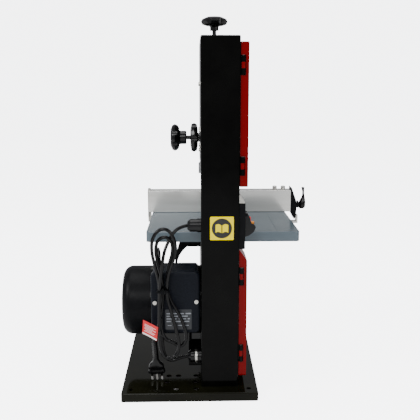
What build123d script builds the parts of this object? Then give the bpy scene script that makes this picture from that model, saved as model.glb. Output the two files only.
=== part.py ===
from build123d import *
import math
import os

os.makedirs("parts", exist_ok=True)

# Bench band saw with 200 mm wheels. All sizes in millimetres.
# Frame: origin at the centre of the base's bench-bolt pattern on the floor plane,
# +Z up, -Y the door side where the operator stands, +X the throat side,
# the column at -X.

# ---------------------------------------------------------------- dimensions
base_l, base_w, base_h, base_t = 320.0, 260.0, 17.0, 2.0
bench_x, bench_y, bench_r = 285.0, 225.0, 4.5

col_x0, col_x1 = -134.0, -98.0          # column, outer and inner face
front_y, rear_y = -92.5, -22.0          # front edge and rear panel of the body
col_top = 672.0
sheet = 1.5

wheel_x, wheel_y = 6.0, -68.0           # wheel axes and the blade's middle plane
low_z, up_z = 146.5, 544.7              # lower and upper wheel axes
wheel_r, wheel_w, tyre_t = 100.0, 14.0, 3.5
blade_w, blade_t, blade_gap = 8.0, 0.5, 0.35
blade_x = wheel_x + wheel_r             # downward run of the blade
blade_slack = 0.9                       # upper arc stands this much higher

up_z0, up_z1, up_step = 404.0, 672.0, 433.0     # upper housing: ear, top, floor
lo_z0, lo_z1, lo_ear = 17.0, 262.0, 288.0       # lower housing: floor, roof, ear
house_x1 = 134.0

door_t = 15.0                           # depth of a door pan
door_y1 = -93.3                         # rear edge of a door pan
door_y0 = -108.0
hinge_x, hinge_y, hinge_r = -131.0, -97.6, 3.4
upper_hinge_z = (443.0, 621.0)
lower_hinge_z = (84.0, 236.0)
hinge_l = 33.0

table_x0, table_x1, table_y0, table_y1 = -68.0, 232.0, -216.0, 84.0
table_top, table_rim, table_plate = 307.0, 19.5, 8.0
pivot_r = 36.0                          # trunnion radius about the blade line

fence_x0, fence_w, fence_top = 136.0, 30.0, 356.0
fence_y0, fence_y1 = -228.0, 94.5

motor_r, motor_y1 = 71.0, 137.0
shaft_r = 7.0
box_x0, box_x1 = -105.0, -50.0          # terminal box behind its lid
rod_y = -50.5                           # tension rod
screw_z, screw_r = 485.0, 4.0           # tracking screw
pivot_y, pivot_z = -38.0, 558.0         # axle bracket pivot
post_x, post_y = 106.0, -45.0            # guide post
cord_r = 3.15
gland_x, gland_up_z, gland_lo_z = -116.0, 331.0, 73.0


def block(x0, x1, y0, y1, z0, z1, mode=Mode.ADD):
    """A box between two corners."""
    with Locations(((x0 + x1) / 2, (y0 + y1) / 2, (z0 + z1) / 2)):
        return Box(x1 - x0, y1 - y0, z1 - z0, mode=mode)


def bar_x(y, z, r, x0, x1, mode=Mode.ADD):
    """A round bar along X."""
    with Locations(Location(((x0 + x1) / 2, y, z), (0, 90, 0))):
        return Cylinder(r, x1 - x0, mode=mode)


def bar_y(x, z, r, y0, y1, mode=Mode.ADD):
    """A round bar along Y."""
    with Locations(Location((x, (y0 + y1) / 2, z), (90, 0, 0))):
        return Cylinder(r, y1 - y0, mode=mode)


def bar_z(x, y, r, z0, z1, mode=Mode.ADD):
    """A round bar along Z."""
    with Locations(((x), y, (z0 + z1) / 2)):
        return Cylinder(r, z1 - z0, mode=mode)


def save(part, name):
    part.label = name
    export_step(part, "parts/" + name + ".step")


# ---------------------------------------------------------------- base
punched = [(-85.5, -12), (-85.5, 23), (-85.5, 42), (-112, -12), (-112, 45), (-141, -12), (-141, 26)]
floor_screws = [(-70, -62), (116, -62), (-70, -32), (60, -32)]
with BuildPart() as base_pan:
    with BuildSketch():
        RectangleRounded(base_l, base_w, 5)
    extrude(amount=base_h)
    fillet(base_pan.faces().sort_by(Axis.Z)[-1].edges(), 2.2)
    with BuildSketch():
        RectangleRounded(base_l - 2 * base_t, base_w - 2 * base_t, 3.5)
    extrude(amount=base_h - base_t, mode=Mode.SUBTRACT)
    with BuildSketch():
        with GridLocations(bench_x, bench_y, 2, 2):
            Circle(bench_r)
        with Locations(*[p for p in punched]):
            Circle(5.5)
        with Locations(*floor_screws):
            Circle(3.2)
    extrude(amount=base_h, mode=Mode.SUBTRACT)
save(base_pan.part, "base_pan")

# ---------------------------------------------------------------- column
def fixed_leaf(z):
    """Column half of a butt hinge: a leaf on the column and the two end knuckles."""
    h = hinge_l / 2
    block(-128.5, -110, front_y - 1.3, front_y, z - h, z + h)
    for z0, z1 in ((z - h, z - h / 3 - 0.15), (z + h / 3 + 0.15, z + h)):
        block(hinge_x, -126, hinge_y - 0.2 + hinge_r - 1.2, hinge_y + hinge_r, z0, z1)
        block(-128.0, -126.0, hinge_y + 1.5, front_y, z0, z1)
        bar_z(hinge_x, hinge_y, hinge_r, z0, z1)
        bar_z(hinge_x, hinge_y, 1.6, z0 - 0.01, z1 + 0.01, Mode.SUBTRACT)


def door_leaf(z):
    """Door half of a butt hinge: the middle knuckle and a leaf inside the door."""
    h = hinge_l / 6 - 0.15
    block(hinge_x, -124.7, hinge_y - hinge_r, hinge_y - hinge_r + 1.2, z - h, z + h)
    block(-125.9, -124.7, door_y0 + sheet, hinge_y - hinge_r + 1.2, z - h, z + h)
    block(-125.9, -108, door_y0 + sheet, door_y0 + sheet + 1.2, z - h * 2.2, z + h * 2.2)
    bar_z(hinge_x, hinge_y, hinge_r, z - h, z + h)
    bar_z(hinge_x, hinge_y, 1.64, z - h - 0.01, z + h + 0.01, Mode.SUBTRACT)


with BuildPart() as column:
    block(col_x0, col_x1, front_y, rear_y, base_h, col_top)
    fillet(column.edges().filter_by(Axis.Z).sort_by(Axis.X)[:2], 3.2)
    fillet(column.faces().sort_by(Axis.Z)[-1].edges().sort_by(Axis.X)[:-1], 2.4)
    block(col_x0 + 2, col_x1 - 2, front_y + 2, rear_y - 2, base_h, col_top - 2, Mode.SUBTRACT)
    bar_y(gland_x, gland_up_z, 8.0, rear_y - 4, rear_y + 2, Mode.SUBTRACT)
    bar_y(gland_x, gland_lo_z, 8.0, rear_y - 4, rear_y + 2, Mode.SUBTRACT)
    block(-126, -106, front_y - 1, front_y + 4, 300, 366, Mode.SUBTRACT)
    # welded channel around the blade's upward run, open to the front so the blade comes out
    block(col_x1, -79, -82, -54, lo_ear, up_z0)
    block(col_x1 + 1.2, -80.2, -83, -55.2, lo_ear - 1, up_z0 + 1, Mode.SUBTRACT)
    # welded hinge halves
    for z in upper_hinge_z + lower_hinge_z:
        fixed_leaf(z)
save(column.part, "column")

# ---------------------------------------------------------------- housings
upper_outline = [(col_x1, up_z0), (-76, up_z0), (-66, up_step), (house_x1, up_step),
                 (house_x1, up_z1), (col_x1, up_z1)]
lower_outline = [(col_x1, lo_z0), (house_x1, lo_z0), (house_x1, lo_z1), (-60, lo_z1),
                 (-76, lo_ear), (col_x1, lo_ear)]

with BuildPart() as upper_housing:
    with BuildSketch(Plane.XZ.offset(-rear_y)) as up_out:
        Polygon(*upper_outline)
        fillet(up_out.vertices().group_by(Axis.X)[-1].sort_by(Axis.Y)[-1], 42)
    extrude(amount=rear_y - front_y)
    with BuildSketch(Plane.XZ.offset(-rear_y + sheet)) as up_in:
        Polygon(*upper_outline)
        fillet(up_in.vertices().group_by(Axis.X)[-1].sort_by(Axis.Y)[-1], 42)
        offset(amount=-sheet, kind=Kind.INTERSECTION, mode=Mode.REPLACE)
    extrude(amount=rear_y - front_y, mode=Mode.SUBTRACT)
    # way out for the blade guard, the guide post and the blade's two runs
    block(90, 123, front_y - 1, -34, up_step - 1, up_step + 6, Mode.SUBTRACT)
    block(col_x1 + sheet, -88, front_y - 1, -60, up_z0 - 1, up_z0 + 3, Mode.SUBTRACT)
    # tracking screw slot, tension rod hole, post lock hole
    block(wheel_x - 6, wheel_x + 6, rear_y - 3, rear_y + 1, screw_z - 11.5, screw_z + 5, Mode.SUBTRACT)
    bar_z(wheel_x, rod_y, 4.6, up_z1 - 4, up_z1 + 1, Mode.SUBTRACT)
    bar_x(-45, 455, 4.5, house_x1 - 3, house_x1 + 1, Mode.SUBTRACT)
    # keeper of the door latch
    block(125, house_x1 - sheet, front_y, front_y + 1.4, 536, 560)
    # rails of the wheel carriage
    for k in (-1, 1):
        xa, xb = sorted((wheel_x + k * 30.3, wheel_x + k * 35))
        block(xa, xb, -35.5, rear_y - sheet, 462, 612)
        xa, xb = sorted((wheel_x + k * 24, wheel_x + k * 35))
        block(xa, xb, -36.0, -33.3, 462, 612)
    # guide block of the guide post
    block(92, 120, -56, rear_y - sheet, 438, 476)
    block(post_x - 7.1, post_x + 7.1, post_y - 7.1, post_y + 7.1, 437, 477, Mode.SUBTRACT)
    bar_x(post_y, 455, 4.06, 112, 121, Mode.SUBTRACT)
save(upper_housing.part, "upper_housing")

with BuildPart() as lower_housing:
    with BuildSketch(Plane.XZ.offset(-rear_y)) as lo_out:
        Polygon(*lower_outline)
        fillet(lo_out.vertices().group_by(Axis.X)[-1].sort_by(Axis.Y)[-1], 35)
    extrude(amount=rear_y - front_y)
    with BuildSketch(Plane.XZ.offset(-rear_y + sheet)) as lo_in:
        Polygon(*lower_outline)
        fillet(lo_in.vertices().group_by(Axis.X)[-1].sort_by(Axis.Y)[-1], 35)
        offset(amount=-sheet, kind=Kind.INTERSECTION, mode=Mode.REPLACE)
    extrude(amount=rear_y - front_y, mode=Mode.SUBTRACT)
    block(98, 114, front_y - 1, -58, lo_z1 - 8, lo_z1 + 1, Mode.SUBTRACT)
    block(col_x1 + sheet, -88, front_y - 1, -60, lo_ear - 3, lo_ear + 1, Mode.SUBTRACT)
    bar_y(wheel_x, low_z, 26, rear_y - 4, rear_y + 1, Mode.SUBTRACT)
    for a in (45, 135, 225, 315):
        bar_y(wheel_x + 52 * math.cos(math.radians(a)), low_z + 52 * math.sin(math.radians(a)),
              3.2, rear_y - 4, rear_y + 1, Mode.SUBTRACT)
    for sx, sy in floor_screws:
        bar_z(sx, sy, 3.2, lo_z0 - 1, lo_z0 + 3, Mode.SUBTRACT)
    block(125, house_x1 - sheet, front_y, front_y + 1.4, 130, 154)
    # welded box over the wiring at the foot of the rear panel
    block(-96, -64, rear_y, 2, 44, 86)
save(lower_housing.part, "lower_housing")

# ---------------------------------------------------------------- doors
def door_relief(z):
    """Clears the knuckles of one hinge out of the door's near rim."""
    block(-140, -124.5, -102.2, -90, z - hinge_l / 2 - 1, z + hinge_l / 2 + 1, Mode.SUBTRACT)


upper_door_outline = [(-130.5, 404.5), (-76, 404.5), (-66, 434), (136, 434), (136, 661.6), (-130.5, 661.6)]
lower_door_outline = [(-130.5, 36.8), (136, 36.8), (136, 261.5), (-61, 261.5), (-77, 287.5), (-130.5, 287.5)]

with BuildPart() as upper_door:
    with BuildSketch(Plane.XZ.offset(-door_y1)) as ud_out:
        Polygon(*upper_door_outline)
        fillet(ud_out.vertices().group_by(Axis.X)[-1].sort_by(Axis.Y)[-1], 43)
        fillet(ud_out.vertices().group_by(Axis.X)[0], 3)
    extrude(amount=door_y1 - door_y0)
    fillet(upper_door.faces().sort_by(Axis.Y)[0].edges(), 2.2)
    with BuildSketch(Plane.XZ.offset(-door_y1)) as ud_in:
        Polygon(*upper_door_outline)
        fillet(ud_in.vertices().group_by(Axis.X)[-1].sort_by(Axis.Y)[-1], 43)
        offset(amount=-sheet, kind=Kind.INTERSECTION, mode=Mode.REPLACE)
    extrude(amount=door_y1 - door_y0 - sheet, mode=Mode.SUBTRACT)
    for z in upper_hinge_z:
        door_relief(z)
        door_leaf(z)
    bar_y(112, 548, 5.06, door_y0 - 1, door_y0 + 4, Mode.SUBTRACT)
save(upper_door.part, "upper_door")

with BuildPart() as lower_door:
    with BuildSketch(Plane.XZ.offset(-door_y1)) as ld_out:
        Polygon(*lower_door_outline)
        fillet(ld_out.vertices().group_by(Axis.X)[-1].sort_by(Axis.Y)[-1], 36)
        fillet(ld_out.vertices().group_by(Axis.Y)[0], 4)
    extrude(amount=door_y1 - door_y0)
    # the ear's top leans back from the front face
    with BuildSketch(Plane.YZ.offset(-140)):
        Polygon((door_y0 - 1, 266), (door_y0, 266), (door_y1 + 0.01, 287.6), (door_y1 + 0.01, 295),
                (door_y0 - 1, 295))
    extrude(amount=85, mode=Mode.SUBTRACT)
    with BuildSketch(Plane.XZ.offset(-door_y1)) as ld_in:
        Polygon((-129, 38.3), (134.5, 38.3), (134.5, 260), (-129, 260))
        fillet(ld_in.vertices().group_by(Axis.X)[-1].sort_by(Axis.Y)[-1], 34.5)
    extrude(amount=door_y1 - door_y0 - sheet, mode=Mode.SUBTRACT)
    with BuildSketch(Plane.YZ.offset(-129)):
        Polygon((door_y1, 259), (door_y0 + sheet, 259), (door_y0 + sheet, 264.6), (door_y1, 285.2))
    extrude(amount=50.5, mode=Mode.SUBTRACT)
    for z in lower_hinge_z:
        door_relief(z)
        door_leaf(z)
    bar_y(112, 142, 5.06, door_y0 - 1, door_y0 + 4, Mode.SUBTRACT)
save(lower_door.part, "lower_door")


with BuildPart() as hinge_pins:
    for z in upper_hinge_z + lower_hinge_z:
        bar_z(hinge_x, hinge_y, 1.6, z - hinge_l / 2, z + hinge_l / 2)
        bar_z(hinge_x, hinge_y, 2.6, z + hinge_l / 2, z + hinge_l / 2 + 0.8)
save(hinge_pins.part, "hinge_pins")

def latch(z):
    """Quarter-turn door latch, shown turned open: grip, stem through the door, cam behind."""
    bar_y(112, z, 5.0, door_y0 - 1, -88)
    bar_y(112, z, 13, door_y0 - 11, door_y0 - 0.4)
    block(112 - 3.5, 112 + 3.5, door_y0 - 15, door_y0 - 10, z - 13, z + 13)
    block(112 - 5, 112 + 5, -90.4, -88, z - 5, z + 18)


with BuildPart() as upper_latch:
    latch(548)
save(upper_latch.part, "upper_latch")
with BuildPart() as lower_latch:
    latch(142)
save(lower_latch.part, "lower_latch")

# ---------------------------------------------------------------- wheels
def wheel_body(z, bore):
    """Cast wheel: rim, thin web with six lightening holes, hub."""
    bar_y(wheel_x, z, wheel_r - tyre_t, wheel_y - wheel_w / 2, wheel_y + wheel_w / 2)
    bar_y(wheel_x, z, wheel_r - 11, wheel_y - wheel_w / 2, wheel_y - 2, Mode.SUBTRACT)
    bar_y(wheel_x, z, wheel_r - 11, wheel_y + 2, wheel_y + wheel_w / 2, Mode.SUBTRACT)
    bar_y(wheel_x, z, 18, wheel_y - 9, wheel_y + 8)
    for k in range(6):
        a = math.radians(60 * k + 30)
        bar_y(wheel_x + 54 * math.cos(a), z + 54 * math.sin(a), 20, wheel_y - 3, wheel_y + 3, Mode.SUBTRACT)
    bar_y(wheel_x, z, bore, wheel_y - 10, wheel_y + 9, Mode.SUBTRACT)


def tyre_ring(z):
    """Rubber tyre, slightly crowned."""
    bar_y(wheel_x, z, wheel_r, wheel_y - wheel_w / 2, wheel_y + wheel_w / 2)
    bar_y(wheel_x, z, wheel_r - tyre_t, wheel_y - wheel_w / 2 - 1, wheel_y + wheel_w / 2 + 1, Mode.SUBTRACT)


with BuildPart() as upper_wheel:
    wheel_body(up_z, 14.0)
save(upper_wheel.part, "upper_wheel")
with BuildPart() as upper_tyre:
    tyre_ring(up_z)
    chamfer(upper_tyre.edges().filter_by(GeomType.CIRCLE).sort_by(SortBy.RADIUS)[-2:], 0.6)
save(upper_tyre.part, "upper_tyre")
with BuildPart() as upper_bearings:
    for y0 in (wheel_y - 8.5, wheel_y - 0.5):
        bar_y(wheel_x, up_z, 14.0, y0, y0 + 8)
        bar_y(wheel_x, up_z, 6.04, y0, y0 + 8, Mode.SUBTRACT)
save(upper_bearings.part, "upper_bearings")
with BuildPart() as lower_wheel:
    wheel_body(low_z, shaft_r)
save(lower_wheel.part, "lower_wheel")
with BuildPart() as lower_tyre:
    tyre_ring(low_z)
    chamfer(lower_tyre.edges().filter_by(GeomType.CIRCLE).sort_by(SortBy.RADIUS)[-2:], 0.6)
save(lower_tyre.part, "lower_tyre")

# ---------------------------------------------------------------- blade
r_in, r_out = wheel_r + blade_gap, wheel_r + blade_gap + blade_t
with BuildPart() as saw_blade:
    with BuildSketch(Plane.XZ.offset(-(wheel_y + blade_w / 2))):
        with Locations((wheel_x, (low_z + up_z + blade_slack) / 2)):
            SlotCenterToCenter(up_z + blade_slack - low_z, 2 * r_out, rotation=90)
            SlotCenterToCenter(up_z + blade_slack - low_z, 2 * r_in, rotation=90, mode=Mode.SUBTRACT)
    extrude(amount=blade_w)
save(saw_blade.part, "saw_blade")

# ---------------------------------------------------------------- upper wheel carriage
with BuildPart() as tension_carriage:
    block(wheel_x - 30, wheel_x + 30, -33, -27, 470, 606)
    block(wheel_x - 13, wheel_x + 13, -42.5, -33, pivot_z - 8, pivot_z + 6)
    block(wheel_x - 10, wheel_x + 10, -57, -33, 592, 606)
    bar_x(pivot_y, pivot_z, 4.04, wheel_x - 14, wheel_x + 14, Mode.SUBTRACT)
    bar_z(wheel_x, rod_y, 4.06, 590, 608, Mode.SUBTRACT)
    bar_y(wheel_x, screw_z, screw_r + 0.05, -34, -26, Mode.SUBTRACT)
save(tension_carriage.part, "tension_carriage")

with BuildPart() as axle_bracket:
    block(wheel_x - 20, wheel_x + 20, -52, -44, 478, 566)
    bar_y(wheel_x, up_z, 11, -58, -44)
    for s in (-1, 1):
        xa, xb = sorted((wheel_x + s * 13.3, wheel_x + s * 20))
        block(xa, xb, -44, -33.7, pivot_z - 8, pivot_z + 7)
    bar_y(wheel_x, up_z, 6.0, -60, -43, Mode.SUBTRACT)
    bar_x(pivot_y, pivot_z, 4.0, wheel_x - 22, wheel_x + 22, Mode.SUBTRACT)
save(axle_bracket.part, "axle_bracket")

# the wheel's axle with its end collar, and the bracket's pivot pin
with BuildPart() as bracket_pins:
    bar_y(wheel_x, up_z, 6.0, -79.5, -44)
    bar_y(wheel_x, up_z, 9.0, -82.5, -77.3)
    bar_x(pivot_y, pivot_z, 4.0, wheel_x - 20, wheel_x + 20)
save(bracket_pins.part, "bracket_pins")


# each knob's half section stands on a plane through its own axis
with BuildPart() as tension_knob:
    with BuildSketch(Plane(origin=(wheel_x, rod_y, 691.5), x_dir=(1, 0, 0), z_dir=(0, -1, 0))):
        Polygon((0, 0), (8.3, 0), (8.3, 6), (10, 8.5), (16, 9.0), (23.5, 11.5), (26, 16.5), (23.5, 21.5), (14, 25.6),
                (0, 26.5))
    revolve(axis=Axis((wheel_x, rod_y, 691.5), (0, 0, 1)))
    with BuildSketch(Plane.XY.offset(691.5 + 8)):
        with Locations((wheel_x, rod_y)):
            with PolarLocations(32.0, 7):
                Circle(8.6)
    extrude(amount=20, mode=Mode.SUBTRACT)
    # its threaded rod, with the collar that stands on the housing
    bar_z(wheel_x, rod_y, 4.0, 567.5, 693)
    bar_z(wheel_x, rod_y, 7.5, 672.3, 674.3)
    with BuildSketch(Plane(origin=(wheel_x, rod_y, 674.3), x_dir=(1, 0, 0), z_dir=(0, -1, 0))):
        Polygon((0, 0), (7.0, 0), (4.6, 5), (0, 5))
    revolve(axis=Axis((wheel_x, rod_y, 0), (0, 0, 1)))
save(tension_knob.part, "tension_knob")

with BuildPart() as tracking_knob:
    with BuildSketch(Plane(origin=(wheel_x, rear_y + 27, screw_z), x_dir=(1, 0, 0), z_dir=(0, 0, 1))):
        Polygon((0, 0), (12.2, 0), (13.4, 2), (13.4, 12), (14.5, 14), (20, 14.5), (24.6, 18), (26.8, 23), (24.6, 28),
                (17, 31.5), (0, 32.3))
    revolve(axis=Axis((wheel_x, 0, screw_z), (0, 1, 0)))
    with BuildSketch(Plane(origin=(wheel_x, rear_y + 27 + 13.8, screw_z), x_dir=(1, 0, 0), z_dir=(0, 1, 0))):
        with PolarLocations(33, 7):
            Circle(8.8)
    extrude(amount=20, mode=Mode.SUBTRACT)
    # its screw, whose tip pushes the tail of the axle bracket
    bar_y(wheel_x, screw_z, screw_r, -42.2, rear_y + 28)
save(tracking_knob.part, "tracking_knob")

with BuildPart() as lock_knob:
    with BuildSketch(Plane(origin=(wheel_x, rear_y + 0.6, screw_z), x_dir=(1, 0, 0), z_dir=(0, 0, 1))):
        Polygon((0, 0), (9, 0), (9, 3.2), (17, 3.6), (26, 5.5), (29, 11), (26.5, 16.5), (15, 18.6), (0, 19))
    revolve(axis=Axis((wheel_x, 0, screw_z), (0, 1, 0)))
    with BuildSketch(Plane(origin=(wheel_x, rear_y + 3.9, screw_z), x_dir=(1, 0, 0), z_dir=(0, 1, 0))):
        with PolarLocations(35.5, 6):
            Circle(10)
    extrude(amount=18, mode=Mode.SUBTRACT)
    bar_y(wheel_x, screw_z, screw_r + 0.05, rear_y, rear_y + 21, Mode.SUBTRACT)
save(lock_knob.part, "lock_knob")

# ---------------------------------------------------------------- guide post and upper guides
with BuildPart() as guide_post:
    block(post_x - 7, post_x + 7, post_y - 7, post_y + 7, 412, 560)
    chamfer(guide_post.edges().filter_by(Axis.Z), 1.0)
save(guide_post.part, "guide_post")

with BuildPart() as guide_bracket:
    with BuildSketch(Plane.YZ.offset(95)):
        Polygon((-78, 401), (-19.7, 401), (-19.7, 421), (-26, 428), (-56, 428), (-60, 414), (-78, 414))
    extrude(amount=22)
    block(post_x - 7, post_x + 7, post_y - 7, post_y + 7, 412, 429, Mode.SUBTRACT)
    block(102.8, 109.2, -80, -60, 400, 415, Mode.SUBTRACT)
    block(102.6, 109.4, -64.2, -50.2, 399, 411.6, Mode.SUBTRACT)
    # steel guide pins on both sides of the blade, and the axle of the thrust bearing
    bar_x(-70, 407, 2.5, 92, blade_x - 0.25)
    bar_x(-70, 407, 2.5, blade_x + blade_gap + blade_t + 0.35, 116.9)
    bar_x(-57.2, 404.5, 2.0, 95, 117)
save(guide_bracket.part, "guide_bracket")

with BuildPart() as upper_thrust:
    bar_x(-57.2, 404.5, 6.4, 103, 109)
    bar_x(-57.2, 404.5, 2.05, 102, 110, Mode.SUBTRACT)
save(upper_thrust.part, "upper_thrust")

with BuildPart() as blade_guard:
    block(95, 118.2, -86.2, -79, 396, 492)
    block(95 - 1, 117.0, -85.0, -78, 395, 493, Mode.SUBTRACT)
    block(117.0, 118.2, -80, -54, 401, 414)
save(blade_guard.part, "blade_guard")

with BuildPart() as post_lock:
    bar_x(post_y, 455, 4.0, 113.4, 140)
    bar_x(post_y, 455, 9.0, 136, 146)
    bar_x(post_y, 455, 17.0, 146, 158)
    for k in range(5):
        a = math.radians(72 * k + 36)
        bar_x(post_y + 20 * math.cos(a), 455 + 20 * math.sin(a), 6.0, 145, 159, Mode.SUBTRACT)
save(post_lock.part, "post_lock")

# ---------------------------------------------------------------- lower guides
with BuildPart() as lower_guide_bracket:
    block(97, 115.5, -80, -45, lo_z1 + 0.0, 275)
    block(102.8, 109.2, -81, -58, lo_z1 - 1, 276, Mode.SUBTRACT)
    block(102.6, 109.4, -64.2, -49.5, lo_z1 + 1.5, 276, Mode.SUBTRACT)
    bar_x(-70, 269, 2.5, 94, blade_x - 0.25)
    bar_x(-70, 269, 2.5, blade_x + blade_gap + blade_t + 0.35, 118)
    bar_x(-57.2, 270.5, 2.0, 97, 115.5)
save(lower_guide_bracket.part, "lower_guide_bracket")
with BuildPart() as lower_thrust:
    bar_x(-57.2, 270.5, 6.4, 103, 109)
    bar_x(-57.2, 270.5, 2.05, 102, 110, Mode.SUBTRACT)
save(lower_thrust.part, "lower_thrust")

# ---------------------------------------------------------------- table support
# one casting: foot pad, two cradles, and a bowed strut under the rear cradle
with BuildPart() as trunnion_base:
    block(60, 94, -92, 22, 262, 267)
    for y0, thick in ((-92.0, 11.5), (6.0, 14.0)):
        with BuildSketch(Plane.XZ.offset(-(y0 + thick))):
            Polygon((60, 262), (126, 262), (126, 270.4), (100, 270.4), (76, 286), (60, 286))
        extrude(amount=thick)
    block(92, 112, 20, 26, 262, 285)
    bar_y(blade_x, table_top, pivot_r + 0.35, -93, -80, Mode.SUBTRACT)
    bar_y(blade_x, table_top, pivot_r + 0.35, 5.9, 20, Mode.SUBTRACT)
    bar_y(blade_x, table_top, 17, 19, 27, Mode.SUBTRACT)
    with BuildSketch(Plane.YZ.offset(80)):
        with BuildLine():
            Polyline((rear_y, 262.5), (22, 262.5), (22, 252))
            ThreePointArc((22, 252), (29.5, 226), (33.5, 196))
            ThreePointArc((33.5, 196), (28, 150), (rear_y, 104))
            Line((rear_y, 104), (rear_y, 118))
            ThreePointArc((rear_y, 118), (20, 155), (28.5, 196))
            ThreePointArc((28.5, 196), (22, 222), (6, 241))
            Polyline((6, 241), (rear_y, 241), (rear_y, 262.5))
        make_face()
    extrude(amount=12)
    block(78.5, 104, rear_y, rear_y + 4, 100, 119)
    # clamping stud of the tilt
    bar_y(blade_x, table_top - 25, 4.0, 2.5, 44)
save(trunnion_base.part, "trunnion_base")

# ---------------------------------------------------------------- table
with BuildPart() as table:
    with BuildSketch(Plane.XY.offset(table_top - table_rim)):
        with Locations(((table_x0 + table_x1) / 2, (table_y0 + table_y1) / 2)):
            RectangleRounded(table_x1 - table_x0, table_y1 - table_y0, 9)
    extrude(amount=table_rim)
    fillet(table.faces().sort_by(Axis.Z)[-1].edges(), 1.2)
    with BuildSketch(Plane.XY.offset(table_top - table_rim - 1)):
        with Locations(((table_x0 + table_x1) / 2, (table_y0 + table_y1) / 2)):
            RectangleRounded(table_x1 - table_x0 - 12, table_y1 - table_y0 - 12, 5)
    extrude(amount=table_rim - table_plate + 1, mode=Mode.SUBTRACT)
    for y in (-168, 52):
        block(table_x0 + 4, table_x1 - 4, y - 2.5, y + 2.5, table_top - 15, table_top - table_plate + 0.5)
    for x in (-20, 190):
        block(x - 2.5, x + 2.5, table_y0 + 4, table_y1 - 4, table_top - 15, table_top - table_plate + 0.5)
    # seat of the insert, way through for the blade, blade slot to the right edge
    bar_z(blade_x, wheel_y, 25.0, table_top - 3, table_top + 1, Mode.SUBTRACT)
    bar_z(blade_x, wheel_y, 20.0, table_top - 12, table_top, Mode.SUBTRACT)
    block(blade_x + 10, table_x1 + 1, wheel_y - 1.2, wheel_y + 1.2, table_top - 25, table_top + 1, Mode.SUBTRACT)
    # shallow datum line for the fence near the front edge
    block(-60, 128, -172.6, -171.6, table_top - 0.5, table_top + 1, Mode.SUBTRACT)
save(table.part, "table")

with BuildPart() as table_insert:
    bar_z(blade_x, wheel_y, 24.8, table_top - 3, table_top - 0.1)
    block(blade_x - 1.6, blade_x + 6.2, wheel_y - 9, wheel_y + 9, table_top - 4, table_top + 1, Mode.SUBTRACT)
    block(blade_x + 1, blade_x + 30, wheel_y - 1.2, wheel_y + 1.2, table_top - 4, table_top + 1, Mode.SUBTRACT)
save(table_insert.part, "table_insert")

with BuildPart() as table_trunnions:
    for y0, thick in ((-91.0, 9.5), (8.0, 10.0)):
        with BuildSketch(Plane.XZ.offset(-(y0 + thick))):
            with Locations((blade_x, table_top)):
                Circle(pivot_r)
            with Locations((blade_x, table_top + 42)):
                Rectangle(200, 100, mode=Mode.SUBTRACT)
        extrude(amount=thick)
    # arc slot of the clamping stud in the rear segment
    with BuildSketch(Plane.XZ.offset(-13)):
        with BuildLine():
            a1 = CenterArc((blade_x, table_top), 29.5, 269, 47)
            a2 = CenterArc((blade_x, table_top), 20.5, 269, 47)
            Line(a1 @ 0, a2 @ 0)
            Line(a1 @ 1, a2 @ 1)
        make_face()
        for a in (269, 316):
            with Locations((blade_x + 25 * math.cos(math.radians(a)), table_top + 25 * math.sin(math.radians(a)))):
                Circle(4.5)
    extrude(amount=8, both=True, mode=Mode.SUBTRACT)
save(table_trunnions.part, "table_trunnions")

with BuildPart() as tilt_lever:
    bar_y(blade_x, table_top - 25, 8.0, 26.4, 40)
    bar_y(blade_x, table_top - 25, 4.05, 26, 45, Mode.SUBTRACT)
    with BuildSketch(Plane.XZ.offset(-39)):
        with Locations((blade_x - 23, table_top - 25)):
            SlotCenterToCenter(38, 9)
    extrude(amount=6)
    bar_y(blade_x, table_top - 25, 4.05, 26, 45, Mode.SUBTRACT)
save(tilt_lever.part, "tilt_lever")

# ---------------------------------------------------------------- fence
fx0, fx1 = fence_x0, fence_x0 + fence_w
with BuildPart() as fence_rail:
    block(fx0, fx1, fence_y0, fence_y1 - 2, table_top + 0.4, fence_top)
    fillet(fence_rail.edges().filter_by(Axis.Y), 0.8)
    block(fx0 + 2.5, fx1 - 2.5, fence_y0 - 1, fence_y1 + 1, table_top + 3, fence_top - 2.5, Mode.SUBTRACT)
    for y in (-212, -193):
        bar_z((fx0 + fx1) / 2, y, 3.2, fence_top - 4, fence_top + 1, Mode.SUBTRACT)
save(fence_rail.part, "fence_rail")

with BuildPart() as fence_head:
    with BuildSketch(Plane.YZ.offset(fx0)) as head:
        Polygon((-228, 307.6), (-237, 290), (-241.2, 296), (-242.2, 318), (-240.8, 333), (-231, 361), (-228, 363.5))
    extrude(amount=fence_w)
    fillet(fence_head.faces().filter_by(Axis.X).edges(), 1.0)
    block(fx0 + 3, fx1 - 3, -229, -183, fence_top - 9, fence_top - 2.7)
    for y in (-212, -193):
        bar_z((fx0 + fx1) / 2, y, 3.0, fence_top - 10, fence_top, Mode.SUBTRACT)
    # stud and collar of the clamping lever
    bar_y(151, 322, 4.0, -262, -240)
    bar_y(151, 322, 8.5, -247.6, -244.8)
save(fence_head.part, "fence_head")

# cap screws on top, zinc shoe under the head, and the black rear hook
with BuildPart() as fence_fittings:
    for y in (-212, -193):
        bar_z((fx0 + fx1) / 2, y, 3.0, fence_top - 9, fence_top + 1)
        bar_z((fx0 + fx1) / 2, y, 5.0, fence_top, fence_top + 8.5)
    chamfer(fence_fittings.faces().sort_by(Axis.Z)[-2:].edges(), 1.0)
    block(143, 159, -246.4, -242.3, 279, 298)
    block(143, 159, -246.4, -208, 279, 283.5)
    block(143, 159, -214.5, -208, 283, 287.1)
    block(fx0, fx1, fence_y1 - 2, fence_y1, 296, fence_top)
    block(143, 159, 88, fence_y1, 284, 306.6)
    block(143, 159, 89, fence_y1, fence_top, fence_top + 3.2)
save(fence_fittings.part, "fence_fittings")

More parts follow.
